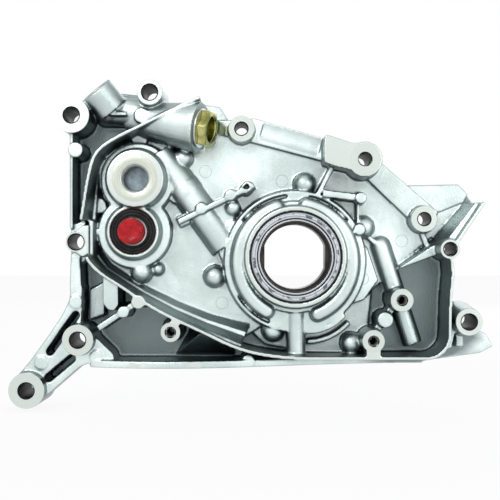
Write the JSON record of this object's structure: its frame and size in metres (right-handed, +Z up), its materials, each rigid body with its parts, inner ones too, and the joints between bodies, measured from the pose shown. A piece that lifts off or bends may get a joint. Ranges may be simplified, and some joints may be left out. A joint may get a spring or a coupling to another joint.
{
  "type": "engine oil pump",
  "caption": "Cast front case of an engine with a crank-driven rotor oil pump, relief valve, crank seal and a reversing gear pair for a balance shaft.",
  "frame": {"origin": "crank axis where it meets the block face", "axes": "+X to the right and +Z up as seen from the timing side, -Y towards the timing side, +Y into the block"},
  "size_m": [0.3502, 0.0443, 0.2341],
  "materials": {
    "cast_aluminium": "bead-blasted die casting with turned faces",
    "seal_steel": "phosphated sheet",
    "seal_rubber": "matt",
    "spring_steel": "drawn wire",
    "red_plastic": "satin moulded plastic",
    "shaft_steel": "ground",
    "gear_steel": "machined",
    "bush_bronze": "bored",
    "cover_steel": "surface ground",
    "screw_steel": "zinc plated",
    "sintered_steel": "sintered and ground",
    "yellow_zinc": "yellow zinc plated",
    "washer_aluminium": "soft",
    "plug_steel": "pressed"
  },
  "bodies": {
    "case": {"front_case": "cast_aluminium", "crank_seal_shell": "seal_steel", "crank_seal_lip": "seal_rubber", "crank_seal_spring": "spring_steel", "shaft_seal_shell": "seal_steel", "shaft_seal_lip": "seal_rubber", "shaft_seal_spring": "spring_steel", "front_bush": "bush_bronze", "rear_bush": "bush_bronze", "gear_cover": "cover_steel", "gear_cover_screws": "screw_steel", "pump_cover": "cover_steel", "pump_cover_screws": "screw_steel", "relief_plug": "yellow_zinc", "relief_washer": "washer_aluminium", "relief_spring": "spring_steel", "gallery_plug": "plug_steel"},
    "crank_rotor": {"inner_rotor": "sintered_steel"},
    "ring_rotor": {"outer_rotor": "sintered_steel"},
    "drive_train": {"drive_shaft": "shaft_steel", "drive_gear": "gear_steel", "drive_gear_key": "shaft_steel"},
    "balance_gear": {"driven_gear": "gear_steel"},
    "plunger": {"relief_plunger": "shaft_steel"},
    "cap": {"transport_cap": "red_plastic"}
  },
  "joints": [
    {"name": "inner_rotor_spin", "type": "hinge", "parent": "case", "child": "crank_rotor", "pos_m": [0, -0.01305, 0], "axis": [0, 1, 0], "continuous": true},
    {"name": "outer_rotor_spin", "type": "hinge", "parent": "case", "child": "ring_rotor", "pos_m": [0, -0.01305, -0.0032], "axis": [0, 1, 0], "continuous": true},
    {"name": "drive_shaft_spin", "type": "hinge", "parent": "case", "child": "drive_train", "pos_m": [-0.1151, -0.01205, 0.0179], "axis": [0, 1, 0], "continuous": true},
    {"name": "driven_gear_spin", "type": "hinge", "parent": "case", "child": "balance_gear", "pos_m": [-0.11314, -0.01205, 0.05535], "axis": [0, 1, 0], "continuous": true},
    {"name": "relief_slide", "type": "slide", "parent": "case", "child": "plunger", "axis": [0.9467, -0.2756, -0.1669], "range_m": [0, 0.008], "stiffness_N_per_m": 5000, "springref_m": -0.01, "deforming": ["relief_spring"]},
    {"name": "cap_pull", "type": "slide", "parent": "drive_train", "child": "cap", "axis": [0, -1, 0], "range_m": [0, 0.03]}
  ],
  "couplings": [
    {"joint": "outer_rotor_spin", "follows": "inner_rotor_spin", "ratio": 0.9},
    {"joint": "driven_gear_spin", "follows": "drive_shaft_spin", "ratio": -1}
  ]
}
